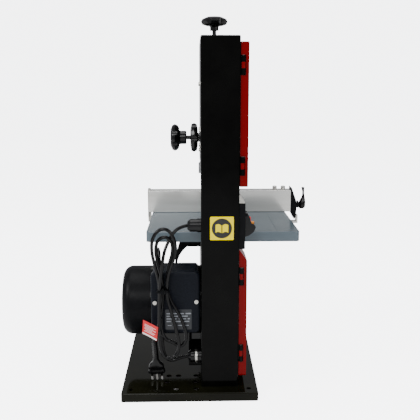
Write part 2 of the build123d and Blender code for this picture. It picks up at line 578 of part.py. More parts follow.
with BuildPart() as fence_lever:
    for z, y, rx, ry in ((312, -255.5, 4.2, 4.2), (315, -256, 7.0, 7.2), (321, -256.4, 8.4, 8.2), (328, -257, 7.6, 7.4),
                         (335, -258.4, 5.4, 5.0), (343, -259, 3.8, 2.8), (352, -258.6, 3.6, 2.4), (358, -258, 4.4, 3.2),
                         (361, -257.8, 4.8, 3.6)):
        with BuildSketch(Plane(origin=(151, y, z), x_dir=(1, 0, 0), z_dir=(0, 0, 1))):
            Ellipse(rx, ry)
    loft()
    bar_y(151, 322, 4.05, -270, -240, Mode.SUBTRACT)
save(fence_lever.part, "fence_lever")

# ---------------------------------------------------------------- switch
sx0, sx1 = -132.0, -100.0
with BuildPart() as switch_bracket:
    with BuildSketch(Plane.YZ.offset(sx0 + 1)):
        Polygon((front_y, 374.8), (-102.6, 374.8), (-102.6, 377), (-94.4, 389.5), (front_y, 389.5))
    extrude(amount=sx1 - sx0 - 2)
    with BuildSketch(Plane.YZ.offset(sx0 + 2.4)):
        Polygon((front_y - 1.2, 374), (-101.4, 374), (-101.4, 376.4), (-94.0, 387.6), (front_y - 1.2, 387.6))
    extrude(amount=sx1 - sx0 - 4.8, mode=Mode.SUBTRACT)
save(switch_bracket.part, "switch_bracket")

with BuildPart() as switch_body:
    block(sx0, sx1, -103.7, front_y, 288.8, 374.6)
    fillet(switch_body.faces().sort_by(Axis.Y)[0].edges(), 1.6)
    block(sx0 + 7, sx1 - 7, front_y, -66, 302, 364)
    bar_y(-116, 341, 6.9, -104, -94, Mode.SUBTRACT)
    bar_y(-116, 322, 8.4, -104, -94, Mode.SUBTRACT)
    for x in (sx0 + 3.2, sx1 - 3.2):
        block(x - 1.2, x + 1.2, -108.2, -103, 350.5, 355.5)
    bar_x(-106.3, 353, 1.0, sx0 + 2, sx1 - 2)
save(switch_body.part, "switch_body")

with BuildPart() as switch_flap:
    with BuildSketch(Plane.YZ.offset(sx0 + 5)):
        Polygon((-104.2, 311.5), (-105.8, 311.5), (-112.4, 314.2), (-120.6, 321.3), (-123.6, 329.2), (-121, 333.1),
                (-115.3, 337), (-113.4, 342), (-112.6, 346.9), (-110.4, 351.3), (-107.6, 354.2), (-106.3, 353),
                (-104.2, 350.6))
    extrude(amount=sx1 - sx0 - 10)
    with BuildSketch(Plane.YZ.offset(sx0 + 6.5)):
        Polygon((-103, 313), (-105.6, 313), (-111.6, 315.6), (-119.2, 322), (-121.9, 328.8), (-119.8, 331.8),
                (-113.9, 336), (-111.9, 341.6), (-111.2, 346.3), (-109.2, 349.4), (-103, 349.4))
    extrude(amount=sx1 - sx0 - 13, mode=Mode.SUBTRACT)
    bar_x(-106.3, 353, 2.0, sx0 + 4.7, sx1 - 4.7)
    # hole over the stop button
    bar_y(-116, 341, 7.3, -118, -108, Mode.SUBTRACT)
    # pull nib
    block(-120, -112, -121.2, -115, 333.6, 337.4)
    bar_x(-106.3, 353, 1.05, sx0, sx1, Mode.SUBTRACT)
save(switch_flap.part, "switch_flap")

with BuildPart() as stop_button:
    bar_y(-116, 341, 6.5, -114.6, -99)
    fillet(stop_button.faces().sort_by(Axis.Y)[0].edges(), 1.2)
save(stop_button.part, "stop_button")
with BuildPart() as start_button:
    bar_y(-116, 322, 8.0, -107.5, -99)
    fillet(start_button.faces().sort_by(Axis.Y)[0].edges(), 1.2)
save(start_button.part, "start_button")

# label plate on the column and rating plate on the terminal box
with BuildPart() as labels:
    block(col_x0 - 0.4, col_x0, -82.2, -38.6, 306.8, 350.8)
    block(-124.4, -124, -4, 46, 130, 170)
save(labels.part, "labels")

# ---------------------------------------------------------------- motor
with BuildPart() as motor_end_shields:
    bar_y(wheel_x, low_z, motor_r, rear_y, rear_y + 10)
    bar_y(wheel_x, low_z, 17.5, rear_y - 1, rear_y + 11, Mode.SUBTRACT)
    for a in (45, 135, 225, 315):
        bar_y(wheel_x + 52 * math.cos(math.radians(a)), low_z + 52 * math.sin(math.radians(a)),
              3.0, rear_y - 1, rear_y + 8, Mode.SUBTRACT)
    bar_y(wheel_x, low_z, 66, 68, 79)
    bar_y(wheel_x, low_z, 17.5, 66, 80, Mode.SUBTRACT)
save(motor_end_shields.part, "motor_end_shields")

with BuildPart() as motor_frame:
    bar_y(wheel_x, low_z, motor_r, rear_y + 10, 79)
    bar_y(wheel_x, low_z, 66, rear_y + 9, 80, Mode.SUBTRACT)
save(motor_frame.part, "motor_frame")

with BuildPart() as motor_bearings:
    for y0 in (rear_y, 68):
        bar_y(wheel_x, low_z, 17.5, y0, y0 + 10)
        bar_y(wheel_x, low_z, shaft_r + 0.04, y0 - 1, y0 + 11, Mode.SUBTRACT)
save(motor_bearings.part, "motor_bearings")

with BuildPart() as stator:
    bar_y(wheel_x, low_z, 66, 8, 58)
    bar_y(wheel_x, low_z, 36, 7, 59, Mode.SUBTRACT)
save(stator.part, "stator")

# rotor pressed on its shaft, with the nut that holds the lower wheel
with BuildPart() as rotor:
    bar_y(wheel_x, low_z, 35.5, 8, 58)
    bar_y(wheel_x, low_z, shaft_r, -84, 112)
    with BuildSketch(Plane.XZ.offset(77)):
        with Locations((wheel_x, low_z)):
            RegularPolygon(11, 6, major_radius=False)
    extrude(amount=7)
save(rotor.part, "rotor")

with BuildPart() as cooling_fan:
    bar_y(wheel_x, low_z, 54, 92, 94.5)
    bar_y(wheel_x, low_z, 14, 90, 108)
    with BuildSketch(Plane.XZ.offset(-94)):
        with Locations((wheel_x, low_z)):
            with PolarLocations(32, 8):
                Rectangle(40, 2.4)
    extrude(amount=-13)
    bar_y(wheel_x, low_z, shaft_r, 89, 109, Mode.SUBTRACT)
save(cooling_fan.part, "cooling_fan")

with BuildPart() as fan_cover:
    bar_y(wheel_x, low_z, motor_r, 79, motor_y1)
    fillet(fan_cover.faces().sort_by(Axis.Y)[-1].edges(), 19)
    bar_y(wheel_x, low_z, motor_r - 1.6, 78, motor_y1 - 20, Mode.SUBTRACT)
    bar_y(wheel_x, low_z, motor_r - 12, 78, motor_y1 - 1.8, Mode.SUBTRACT)
    with BuildSketch(Plane.XZ.offset(-(motor_y1 + 1))):
        with Locations((wheel_x, low_z)):
            with PolarLocations(22, 10):
                SlotOverall(14, 4, rotation=0)
            with PolarLocations(41, 18):
                SlotOverall(15, 4, rotation=0)
    extrude(amount=6, mode=Mode.SUBTRACT)
save(fan_cover.part, "fan_cover")

# ---------------------------------------------------------------- terminal box
with BuildPart() as terminal_box:
    block(box_x0, box_x1, -18, 71, 124, 241)
    fillet(terminal_box.edges().filter_by(Axis.X), 8)
    bar_y(wheel_x, low_z, motor_r, -30, 80, Mode.SUBTRACT)
    block(box_x0 - 1, -75, -15, 68, 127, 238, Mode.SUBTRACT)
    bar_z(-92, 62, 5.0, 236, 243, Mode.SUBTRACT)
    bar_z(-92, 3, 5.0, 122, 129, Mode.SUBTRACT)
save(terminal_box.part, "terminal_box")

with BuildPart() as terminal_lid:
    block(-124, box_x0, -20, 73, 122, 243)
    fillet(terminal_lid.edges().filter_by(Axis.X), 10)
    fillet(terminal_lid.faces().sort_by(Axis.X)[0].edges(), 4)
    block(-120.5, box_x0 + 1, -15, 68, 127, 238, Mode.SUBTRACT)
    for y, z in ((65.5, 183.5), (-13, 185)):
        bar_x(y, z, 2.0, -125, -110, Mode.SUBTRACT)
save(terminal_lid.part, "terminal_lid")

# ---------------------------------------------------------------- glands and small boxes
def cable_gland(z):
    """Nylon cable gland on the column's rear face: hexagon, ribbed dome nut, bore."""
    with Locations(Location((gland_x, rear_y + 3.5, z), (90, 0, 0))):
        Cylinder(13, 7)
    bar_y(gland_x, z, 12.0, rear_y + 7, rear_y + 20)
    with Locations(Location((gland_x, rear_y + 22.5, z), (-90, 0, 0))):
        Cone(12.0, 7.5, 5)
    bar_y(gland_x, z, 8.0, rear_y - 6, rear_y)
    bar_y(gland_x, z, cord_r, rear_y - 7, rear_y + 26, Mode.SUBTRACT)


with BuildPart() as cable_glands:
    cable_gland(gland_up_z)
    cable_gland(gland_lo_z)
    # motor lead gland and blank gland of the terminal box
    bar_z(-92, 62, 7.0, 241, 247)
    bar_z(-92, 62, 6.0, 247, 255)
    bar_z(-92, 62, 5.0, 238, 241)
    bar_z(-92, 62, cord_r, 237, 256, Mode.SUBTRACT)
    bar_z(-92, 3, 6.8, 96, 124)
    bar_z(-92, 3, 5.0, 124, 127)
save(cable_glands.part, "cable_glands")

with BuildPart() as machine_screws:
    for sx, sy in floor_screws:
        bar_z(sx, sy, 3.0, 9.0, lo_z0 + sheet)
        bar_z(sx, sy, 5.6, lo_z0 + sheet, 22.5)
        bar_z(sx, sy, 5.5, 10.0, 15.0)
    for a in (45, 135, 225, 315):
        x, z = wheel_x + 52 * math.cos(math.radians(a)), low_z + 52 * math.sin(math.radians(a))
        bar_y(x, z, 3.0, rear_y - sheet - 1, rear_y + 7)
        bar_y(x, z, 5.0, rear_y - sheet - 5, rear_y - sheet)
    for y, z in ((65.5, 183.5), (-13, 185)):
        bar_x(y, z, 2.0, -124, -112)
        bar_x(y, z, 3.8, -126, -124)
    for x, z in ((-6, 471), (-6, 461.5), (-27, 500), (-27, 590), (39, 500), (39, 590)):
        bar_y(x, z, 3.6, rear_y, rear_y + 2.8)
save(machine_screws.part, "machine_screws")

# ---------------------------------------------------------------- cords
def corner_radii(pts):
    """Arc radius at each corner: 0.45 of the shorter run over the tangent of half the turn."""
    out = []
    for a, b, c in zip(pts, pts[1:], pts[2:]):
        u, v = Vector(*b) - Vector(*a), Vector(*c) - Vector(*b)
        out.append(0.45 * min(u.length, v.length) / math.tan(math.radians(u.get_angle(v)) / 2))
    return out


# the stretches outside the tied bundle: two of the mains cord, two of the motor lead
cord_routes = {
    "mains_cord": [
        [(gland_x, 3, gland_up_z), (-119, 18, 328.5), (-129, 31, 318), (-139, 39, 303)],
        [(-138, 55, 158), (-136.5, 58.5, 142), (-132.5, 62.5, 126), (-128, 67.3, 108.6)],
    ],
    "motor_lead": [
        [(gland_x, 3, gland_lo_z), (-118, 19, 70.5), (-124, 33, 67), (-131, 44, 73), (-135, 50, 88), (-136.5, 52, 104)],
        [(-134, 52, 262), (-128, 54, 280), (-114, 58, 286), (-99, 61, 279), (-92, 62, 266), (-92.0, 62.0, 255)],
    ],
}
for name, routes in cord_routes.items():
    total = 0.0
    with BuildPart() as tube:
        for route in routes:
            radii = corner_radii(route)
            print(name, "radii", [round(r, 1) for r in radii])
            with BuildLine():
                FilletPolyline(*route, radius=radii)
            with BuildSketch(Plane(origin=route[0], z_dir=Vector(*route[1]) - Vector(*route[0]))):
                Circle(cord_r)
            sweep()
    print(name, "volume", round(tube.part.volume / (math.pi * cord_r ** 2), 1), "mm of cord")
    save(tube.part, name)

# the tied bundle of the mains cord and the motor lead, outer shape only
with BuildPart() as cord_hank:
    with BuildSketch(Plane.YZ.offset(-150)) as hank:
        Polygon((46, 328), (58, 318), (67.5, 300), (67.5, 280), (62.5, 258), (59, 236), (58, 213), (59, 170),
                (60, 130), (56, 98), (48, 84), (39, 78), (28, 80), (18, 94), (7, 112), (6, 130), (12, 150),
                (22, 172), (34, 190), (39, 213), (36, 236), (29, 264), (24, 284), (25, 300), (33, 320))
    extrude(amount=20)
    fillet(cord_hank.faces().filter_by(Axis.X).edges(), 2.5)
save(cord_hank.part, "cord_hank")

# three-pin plug, hanging with its pin tips just over the base
plug_top, plug_tip = Vector(-128, 67.3, 108.6), Vector(-104, 64.1, 18.6)
plug_dir = (plug_tip - plug_top).normalized()
plug_plane = Plane(origin=plug_top, x_dir=(0, 1, 0), z_dir=plug_dir)
plug_len = (plug_tip - plug_top).length
with BuildPart() as mains_plug:
    for d, w, t in ((0, 4.6, 4.6), (24, 6.0, 6.0), (34, 14, 10), (50, 30, 14), (58, 34, 15), (plug_len - 19, 34, 15)):
        with BuildSketch(plug_plane.offset(d)):
            RectangleRounded(2 * w if d < 30 else w, 2 * t if d < 30 else t, (2 * t if d < 30 else t) / 2 - 0.05)
    loft(ruled=True)
    with BuildSketch(plug_plane.offset(plug_len - 19)):
        with Locations((-9.5, 0), (0, 0), (9.5, 0)):
            Circle(2.0)
    extrude(amount=19)
save(mains_plug.part, "mains_plug")

# tie round the bundle
with BuildPart() as cable_tie:
    block(-151.4, -128.6, 37.6, 59.6, 210.5, 215.5)
    block(-149.9, -130.1, 39.1, 58.1, 210, 216, Mode.SUBTRACT)
save(cable_tie.part, "cable_tie")

# folded tag hanging on the cord
with BuildPart() as cord_tag:
    with BuildSketch(Plane.YZ.offset(-153.2)):
        Polygon((85.7, 161), (58, 145.6), (61, 119.5), (87.7, 135))
    extrude(amount=0.5)
save(cord_tag.part, "cord_tag")
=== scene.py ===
import bpy, bmesh, math
from mathutils import Vector, Matrix


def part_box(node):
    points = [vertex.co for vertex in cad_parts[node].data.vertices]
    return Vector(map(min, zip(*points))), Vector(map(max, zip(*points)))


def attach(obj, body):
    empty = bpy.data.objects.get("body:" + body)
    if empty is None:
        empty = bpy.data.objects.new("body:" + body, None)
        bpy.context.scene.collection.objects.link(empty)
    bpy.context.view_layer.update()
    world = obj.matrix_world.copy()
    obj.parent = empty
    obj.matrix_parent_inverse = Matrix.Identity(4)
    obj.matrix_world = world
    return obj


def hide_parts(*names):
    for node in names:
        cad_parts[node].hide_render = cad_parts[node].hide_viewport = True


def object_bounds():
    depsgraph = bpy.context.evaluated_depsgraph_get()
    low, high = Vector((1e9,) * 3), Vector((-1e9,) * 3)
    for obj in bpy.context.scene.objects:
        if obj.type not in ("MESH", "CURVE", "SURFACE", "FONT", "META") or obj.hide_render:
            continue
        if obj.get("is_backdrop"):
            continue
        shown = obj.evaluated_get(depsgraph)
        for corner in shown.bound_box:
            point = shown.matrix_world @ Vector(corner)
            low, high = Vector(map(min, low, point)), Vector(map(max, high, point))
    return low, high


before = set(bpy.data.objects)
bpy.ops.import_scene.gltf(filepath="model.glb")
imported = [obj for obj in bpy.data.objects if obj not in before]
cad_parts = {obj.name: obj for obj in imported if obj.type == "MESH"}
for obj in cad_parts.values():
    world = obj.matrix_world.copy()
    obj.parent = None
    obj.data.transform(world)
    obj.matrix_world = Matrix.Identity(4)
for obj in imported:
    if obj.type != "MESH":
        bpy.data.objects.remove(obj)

size_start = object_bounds()
size_start = [[float(v) for v in size_start[0]], [float(v) for v in size_start[1]]]
MM = 0.001

# ------------------------------------------------------------------ camera
cam_data = bpy.data.cameras.new("view_camera")
cam_data.sensor_width = 36.0
cam_data.lens = 53.4
cam_data.clip_start = 0.01
cam = bpy.data.objects.new("view_camera", cam_data)
bpy.context.scene.collection.objects.link(cam)
cam.location = (-1.2485, -0.010, 0.576)
el, az = math.radians(10.8), math.radians(1.47)
fwd = Vector((math.cos(el) * math.cos(az), -math.cos(el) * math.sin(az), -math.sin(el)))
cam.rotation_mode = "QUATERNION"
cam.rotation_quaternion = fwd.to_track_quat("-Z", "Y")
bpy.context.scene.camera = cam


# ------------------------------------------------------------------ materials
def N(tree, kind, **kw):
    node = tree.nodes.new(kind)
    for k, v in kw.items():
        if k in node.inputs:
            node.inputs[k].default_value = v
        else:
            setattr(node, k, v)
    return node


def finish(name, color, color2=None, rough=0.3, rough2=None, metal=0.0, coat=0.0, scale=60.0, stretch=(1, 1, 1),
           bump=0.0, bump_scale=400.0, cells=False, spec=0.5, sheen=0.0, detail=4.0):
    """Painted, moulded, machined or cast surface: colour and roughness vary with noise, and the bump is fine."""
    mat = bpy.data.materials.new(name)
    mat.use_nodes = True
    t = mat.node_tree
    t.nodes.clear()
    out = N(t, "ShaderNodeOutputMaterial")
    bsdf = N(t, "ShaderNodeBsdfPrincipled")
    bsdf.inputs["Metallic"].default_value = metal
    bsdf.inputs["Coat Weight"].default_value = coat
    bsdf.inputs["Coat Roughness"].default_value = 0.04
    bsdf.inputs["Specular IOR Level"].default_value = spec
    bsdf.inputs["Sheen Weight"].default_value = sheen
    t.links.new(bsdf.outputs["BSDF"], out.inputs["Surface"])
    co = N(t, "ShaderNodeTexCoord")
    mp = N(t, "ShaderNodeMapping")
    mp.inputs["Scale"].default_value = stretch
    t.links.new(co.outputs["Object"], mp.inputs["Vector"])
    noise = N(t, "ShaderNodeTexNoise", Scale=scale, Detail=detail, Roughness=0.6)
    t.links.new(mp.outputs["Vector"], noise.inputs["Vector"])
    ramp = N(t, "ShaderNodeValToRGB")
    c2 = color2 or [min(1.0, c * 1.35 + 0.004) for c in color]
    ramp.color_ramp.elements[0].position = 0.32
    ramp.color_ramp.elements[0].color = (*color, 1)
    ramp.color_ramp.elements[1].position = 0.7
    ramp.color_ramp.elements[1].color = (*c2, 1)
    t.links.new(noise.outputs["Fac"], ramp.inputs["Fac"])
    last = ramp.outputs["Color"]
    t.links.new(last, bsdf.inputs["Base Color"])
    mr = N(t, "ShaderNodeMapRange")
    mr.inputs["From Min"].default_value = 0.25
    mr.inputs["From Max"].default_value = 0.75
    mr.inputs["To Min"].default_value = rough
    mr.inputs["To Max"].default_value = rough2 if rough2 is not None else min(1.0, rough * 1.4 + 0.02)
    n2 = N(t, "ShaderNodeTexNoise", Scale=scale * 0.35, Detail=3.0)
    t.links.new(mp.outputs["Vector"], n2.inputs["Vector"])
    t.links.new(n2.outputs["Fac"], mr.inputs["Value"])
    t.links.new(mr.outputs["Result"], bsdf.inputs["Roughness"])
    if bump:
        if cells:
            b = N(t, "ShaderNodeTexVoronoi", Scale=bump_scale)
            src = b.outputs["Distance"]
        else:
            b = N(t, "ShaderNodeTexNoise", Scale=bump_scale, Detail=5.0)
            src = b.outputs["Fac"]
        t.links.new(mp.outputs["Vector"], b.inputs["Vector"])
        bp = N(t, "ShaderNodeBump", Strength=bump, Distance=0.0004)
        t.links.new(src, bp.inputs["Height"])
        t.links.new(bp.outputs["Normal"], bsdf.inputs["Normal"])
    return mat


black_paint = finish("black_paint", (0.0012, 0.0012, 0.0011), (0.0025, 0.0025, 0.0023), rough=0.08, rough2=0.14, spec=0.08,
                     scale=22, bump=0.05, bump_scale=55)
# Base pan: gloss black paint whose olive tint is a painted reflection of the lighter surroundings, not the paint's own
# colour.
base_paint_painted_reflection = finish("base_paint_painted_reflection", (0.003, 0.003, 0.0012), (0.0065, 0.0065, 0.003), rough=0.04, rough2=0.09, spec=0.14,
                    scale=18, bump=0.05, bump_scale=40)
red_paint = finish("red_paint", (0.14, 0.0003, 0.0010), (0.155, 0.0004, 0.0012), rough=0.22, rough2=0.27, spec=0.12,
                   scale=420, bump=0.03, bump_scale=900)
black_moulded = finish("black_moulded", (0.0026, 0.0028, 0.0034), (0.0048, 0.005, 0.006), rough=0.32, rough2=0.44, spec=0.08, scale=90,
                       bump=0.22, bump_scale=1600)
black_glossy = finish("black_glossy", (0.0022, 0.0022, 0.0025), (0.004, 0.004, 0.0045), rough=0.16, rough2=0.24, spec=0.3,
                      scale=60, bump=0.04, bump_scale=300)
lid_plastic = finish("lid_plastic", (0.0035, 0.0045, 0.0075), (0.008, 0.010, 0.015), rough=0.30, rough2=0.44, spec=0.1, scale=340,
                     bump=0.5, bump_scale=1500, cells=True)
zinc = finish("zinc", (0.55, 0.54, 0.50), (0.72, 0.71, 0.67), rough=0.26, rough2=0.4, metal=1.0, scale=120, bump=0.12,
              bump_scale=700)
steel = finish("bright_steel", (0.52, 0.53, 0.55), (0.66, 0.67, 0.69), rough=0.2, rough2=0.34, metal=1.0, scale=160,
               stretch=(1, 1, 0.2), bump=0.08, bump_scale=900)
steel_dark = finish("dark_steel", (0.06, 0.058, 0.055), (0.12, 0.115, 0.11), rough=0.3, rough2=0.42, metal=0.7, scale=200,
                    bump=0.1)
brass = finish("brass", (0.62, 0.42, 0.12), (0.74, 0.53, 0.2), rough=0.2, rough2=0.32, metal=1.0, scale=150, bump=0.08)
table_paint = finish("table_paint", (0.088, 0.118, 0.140), (0.104, 0.137, 0.160), rough=0.15, rough2=0.24, spec=0.4,
                     scale=24, stretch=(1, 0.3, 1), bump=0.06, bump_scale=180)
fence_alu = finish("fence_aluminium", (0.66, 0.655, 0.62), (0.83, 0.83, 0.81), rough=0.13, rough2=0.22, metal=0.6,
                   scale=34, stretch=(1, 0.06, 1), bump=0.05, bump_scale=900)
cast_alu = finish("cast_aluminium", (0.42, 0.43, 0.44), (0.56, 0.57, 0.58), rough=0.42, rough2=0.58, metal=1.0, scale=80,
                  bump=0.35, bump_scale=600)
cast_iron = finish("cast_iron", (0.012, 0.012, 0.013), (0.026, 0.026, 0.027), rough=0.3, rough2=0.42, scale=70,
                   bump=0.4, bump_scale=420, spec=0.2)
rubber = finish("tyre_rubber", (0.015, 0.015, 0.015), (0.028, 0.028, 0.028), rough=0.68, rough2=0.8, scale=140,
                bump=0.3, bump_scale=900)
cord_pvc = finish("cord_pvc", (0.002, 0.002, 0.0022), (0.004, 0.004, 0.0045), rough=0.10, rough2=0.16, spec=0.24, scale=120,
                  bump=0.08, bump_scale=900)
label_yellow = finish("label_yellow", (0.92, 0.72, 0.0), (0.95, 0.76, 0.0), rough=0.5, rough2=0.6, spec=0.02, scale=90,
                      bump=0.03, bump_scale=600)
ink = finish("label_ink", (0.008, 0.008, 0.008), (0.014, 0.014, 0.014), rough=0.36, rough2=0.46, scale=200, bump=0.03)
plate_dark = finish("plate_dark", (0.012, 0.014, 0.018), (0.02, 0.023, 0.028), rough=0.3, rough2=0.4, scale=180, bump=0.04)
print_grey = finish("print_grey", (0.22, 0.24, 0.27), (0.30, 0.32, 0.35), rough=0.4, rough2=0.5, scale=900, bump=0.02)
tag_red = finish("tag_red", (0.58, 0.010, 0.014), (0.70, 0.02, 0.025), rough=0.34, rough2=0.44, scale=60, bump=0.06,
                 bump_scale=300)
tag_print = finish("tag_print", (0.75, 0.42, 0.42), (0.88, 0.62, 0.62), rough=0.4, rough2=0.5, scale=900, bump=0.02)
tag_white = finish("tag_white", (0.80, 0.79, 0.78), (0.88, 0.87, 0.86), rough=0.4, rough2=0.5, scale=120, bump=0.03)
pin_metal = finish("pin_metal", (0.74, 0.73, 0.70), (0.86, 0.85, 0.82), rough=0.25, rough2=0.36, metal=0.45, scale=200,
                   bump=0.05)
copper = finish("winding_copper", (0.42, 0.16, 0.05), (0.62, 0.27, 0.09), rough=0.28, rough2=0.42, metal=1.0, scale=60,
                stretch=(1, 8, 1), bump=0.4, bump_scale=500)
button_red = finish("button_red", (0.62, 0.008, 0.008), (0.72, 0.016, 0.016), rough=0.22, rough2=0.3, scale=80, bump=0.04)
button_green = finish("button_green", (0.01, 0.22, 0.05), (0.016, 0.28, 0.07), rough=0.22, rough2=0.3, scale=80, bump=0.04)
orange = finish("nib_orange", (0.86, 0.27, 0.02), (0.92, 0.34, 0.04), rough=0.3, rough2=0.4, scale=90, bump=0.03)
insert_alu = finish("insert_aluminium", (0.5, 0.5, 0.5), (0.62, 0.62, 0.62), rough=0.3, rough2=0.42, metal=1.0,
                    scale=60, stretch=(1, 6, 1), bump=0.08, bump_scale=500)

NODE_MAT = {
    "base_pan": base_paint_painted_reflection, "column": black_paint, "upper_housing": black_paint, "lower_housing": black_paint,
    "upper_door": red_paint, "lower_door": red_paint, "hinge_pins": steel_dark, "upper_latch": black_moulded,
    "lower_latch": black_moulded, "machine_screws": zinc, "upper_wheel": cast_alu, "lower_wheel": cast_alu,
    "upper_tyre": rubber, "lower_tyre": rubber, "upper_bearings": steel, "saw_blade": steel,
    "tension_carriage": cast_iron, "axle_bracket": cast_iron, "bracket_pins": steel, "tension_knob": black_glossy,
    "tracking_knob": black_glossy, "lock_knob": black_glossy, "guide_post": zinc, "guide_bracket": cast_alu,
    "upper_thrust": steel, "lower_thrust": steel, "blade_guard": black_moulded, "post_lock": black_glossy,
    "lower_guide_bracket": zinc, "trunnion_base": cast_iron, "table": table_paint, "table_insert": insert_alu,
    "table_trunnions": cast_iron, "tilt_lever": black_moulded, "fence_rail": fence_alu, "fence_head": black_moulded,
    "fence_fittings": zinc, "fence_lever": black_glossy, "switch_bracket": zinc, "switch_body": black_moulded,
    "switch_flap": black_glossy, "stop_button": button_red, "start_button": button_green, "labels": label_yellow,
    "motor_end_shields": black_paint, "motor_frame": black_paint, "motor_bearings": steel, "stator": copper,
    "rotor": steel, "cooling_fan": black_moulded, "fan_cover": black_moulded, "terminal_box": lid_plastic,
    "terminal_lid": lid_plastic, "cable_glands": black_glossy, "mains_cord": cord_pvc, "motor_lead": cord_pvc,
    "cord_hank": cord_pvc, "cable_tie": black_moulded, "cord_tag": tag_red, "mains_plug": black_glossy,
}
for name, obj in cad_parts.items():
    mat = NODE_MAT[name]
    if obj.material_slots:
        for s in obj.material_slots:
            s.material = mat
    else:
        obj.data.materials.append(mat)


# ------------------------------------------------------------------ piece makers
def piece(name, mesh, mat, body):
    obj = bpy.data.objects.new(name, mesh)
    bpy.context.scene.collection.objects.link(obj)
    if mat is not None:
        mesh.materials.append(mat)
    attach(obj, body)
    return obj


def from_bm(bm, name, smooth=True):
    mesh = bpy.data.meshes.new(name)
    bmesh.ops.recalc_face_normals(bm, faces=bm.faces)
    bm.to_mesh(mesh)
    bm.free()
    if smooth:
        for p in mesh.polygons:
            p.use_smooth = True
        mesh.set_sharp_from_angle(angle=math.radians(35))
    return mesh


def plate_x(bm, x0, x1, poly):
    """Flat plate with outline poly of (y, z) in mm, between x0 and x1 in mm."""
    a = [bm.verts.new((x0 * MM, y * MM, z * MM)) for y, z in poly]
    b = [bm.verts.new((x1 * MM, y * MM, z * MM)) for y, z in poly]
    bm.faces.new(a)
    bm.faces.new(list(reversed(b)))
    n = len(poly)
    for i in range(n):
        bm.faces.new((a[i], b[i], b[(i + 1) % n], a[(i + 1) % n]))


def round_rect(y0, y1, z0, z1, r, n=6):
    pts = []
    for cy, cz, a0 in ((y1 - r, z1 - r, 0), (y0 + r, z1 - r, 90), (y0 + r, z0 + r, 180), (y1 - r, z0 + r, 270)):
        for i in range(n + 1):
            a = math.radians(a0 + 90 * i / n)
            pts.append((cy + r * math.cos(a), cz + r * math.sin(a)))
    return pts


def disc(cy, cz, r, n=48):
    return [(cy + r * math.cos(2 * math.pi * i / n), cz + r * math.sin(2 * math.pi * i / n)) for i in range(n)]


def revolve(bm, origin, axis, profile, n=40, cap=True):
    """profile: (distance along axis, radius) in mm."""
    axis = Vector(axis).normalized()
    side = axis.orthogonal().normalized()
    up = axis.cross(side)
    rings = []
    for d, r in profile:
        ring = []
        for i in range(n):
            a = 2 * math.pi * i / n
            p = Vector(origin) + axis * d + (side * math.cos(a) + up * math.sin(a)) * r
            ring.append(bm.verts.new(p * MM))
        rings.append(ring)
    for k in range(len(rings) - 1):
        for i in range(n):
            bm.faces.new((rings[k][i], rings[k][(i + 1) % n], rings[k + 1][(i + 1) % n], rings[k + 1][i]))
    if cap:
        bm.faces.new(rings[0])
        bm.faces.new(rings[-1])


def loft(bm, sections):
    """sections: lists of the same number of points in mm."""
    rings = [[bm.verts.new(Vector(p) * MM) for p in s] for s in sections]
    n = len(rings[0])
    for k in range(len(rings) - 1):
        for i in range(n):
            bm.faces.new((rings[k][i], rings[k][(i + 1) % n], rings[k + 1][(i + 1) % n], rings[k + 1][i]))
    bm.faces.new(rings[0])
    bm.faces.new(rings[-1])


# ------------------------------------------------------------------ cords
mains_route = [
    (-116, 3, 331), (-119, 18, 328.5), (-129, 31, 318), (-139, 39, 303), (-146, 45.5, 288), (-148, 49, 266),
    (-147.3, 52.5, 240), (-146.7, 54.9, 213), (-147, 55.5, 180), (-147, 56.5, 148), (-147, 56.5, 118),
    (-146, 53.5, 95), (-144, 45, 80), (-142, 32, 80), (-141, 21.5, 91), (-140.5, 19.5, 109), (-140.5, 24, 130),
    (-140.5, 29, 152), (-141, 35.5, 178), (-140.6, 40.5, 196), (-140, 42.3, 213), (-140.8, 39.5, 240),
    (-142, 32.5, 263), (-143, 25.5, 280), (-143, 24, 298), (-143, 29, 317), (-143, 40, 331), (-143, 56, 329),
    (-143, 68, 311), (-142.5, 68.5, 286), (-141.5, 62.5, 258), (-140.4, 56.5, 234), (-140, 54.9, 213),
    (-140.5, 56, 186), (-140.5, 55.5, 158), (-139, 52.5, 131), (-136.5, 44, 114), (-135, 31, 109), (-135, 17, 99),
    (-135, 6.5, 111), (-135, 7, 130), (-135, 13, 150), (-135, 22, 170), (-134.5, 34, 189), (-133.3, 42.3, 213),
    (-133.8, 40.5, 240), (-135, 37.5, 262), (-136, 30, 284), (-136.5, 31, 305), (-136.5, 42, 315), (-136.5, 57, 310),
    (-136, 62.5, 290), (-135, 58, 264), (-134, 51.5, 238), (-133.3, 48.6, 213), (-133.8, 50, 186), (-134.5, 54, 160),
    (-135, 58, 142), (-132.2, 62.5, 126), (-128, 67.3, 108.6),
]
lead_route = [
    (-116, 3, 73), (-118, 19, 70.5), (-124, 33, 67), (-130, 44, 73), (-131.5, 50, 88), (-129.5, 52, 106),
    (-127.3, 52.5, 140), (-127.3, 54, 175), (-133.3, 55.0, 213), (-128.6, 56.5, 240), (-129, 55.5, 262),
    (-126, 55.5, 279), (-114, 58, 287), (-99, 61, 280), (-92, 62, 267), (-92.0, 62.0, 254.5),
]


def cord_curve(name, route, r, mat):
    cu = bpy.data.curves.new(name, "CURVE")
    cu.dimensions = "3D"
    cu.resolution_u = 12
    cu.bevel_depth = r * MM
    cu.bevel_resolution = 6
    cu.use_fill_caps = True
    sp = cu.splines.new("NURBS")
    sp.points.add(len(route) - 1)
    for p, q in zip(sp.points, route):
        p.co = (q[0] * MM, q[1] * MM, q[2] * MM, 1.0)
    sp.order_u = 3
    sp.use_endpoint_u = True
    cu.materials.append(mat)
    obj = bpy.data.objects.new(name, cu)
    bpy.context.scene.collection.objects.link(obj)
    return obj


